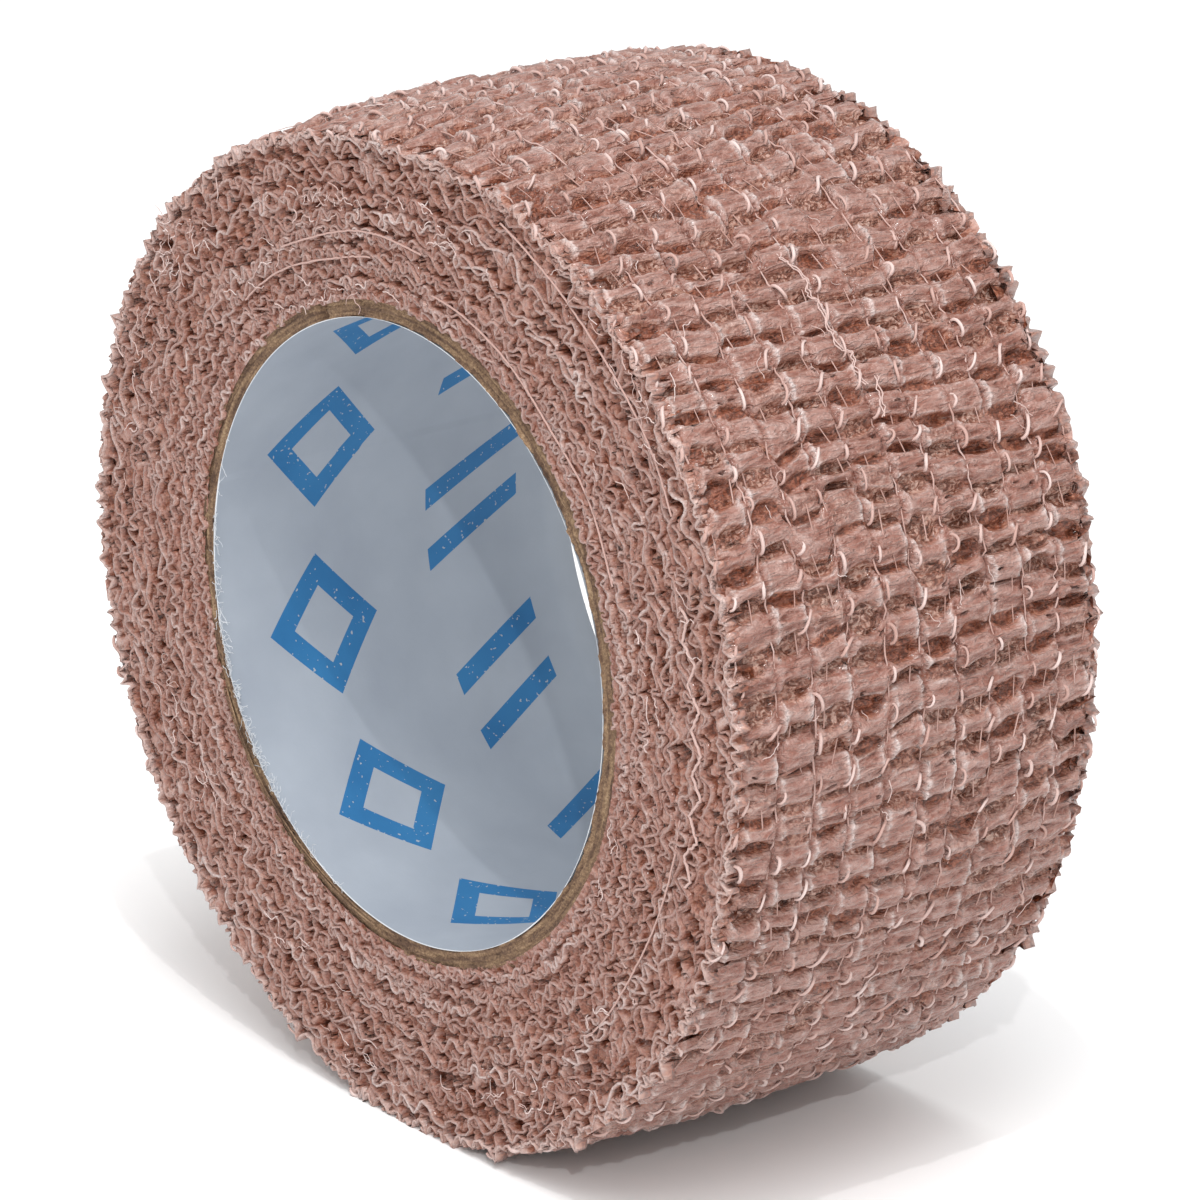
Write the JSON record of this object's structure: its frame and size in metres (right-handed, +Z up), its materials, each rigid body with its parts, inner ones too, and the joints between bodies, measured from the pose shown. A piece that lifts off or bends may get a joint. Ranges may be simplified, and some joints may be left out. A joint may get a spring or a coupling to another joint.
{
  "type": "cohesive bandage roll",
  "caption": "Roll of crinkled elastic bandage wound on a short paperboard tube with a paper lining, standing on its curved side.",
  "frame": {"origin": "middle of the flat spot under the roll, at the height of the surface that it stands on", "axes": "+Z up, Y along the core's axis with the front face at -Y, X across the roll"},
  "size_m": [0.0583, 0.0254, 0.0575],
  "materials": {
    "bandage": "crinkled nonwoven, matt with a faint sheen",
    "board": "raw kraft board",
    "paper": "smooth coated paper with a blue print"
  },
  "bodies": {
    "root": {"bandage_roll": "bandage", "core_tube": "board", "core_liner": "paper"}
  },
  "joints": []
}
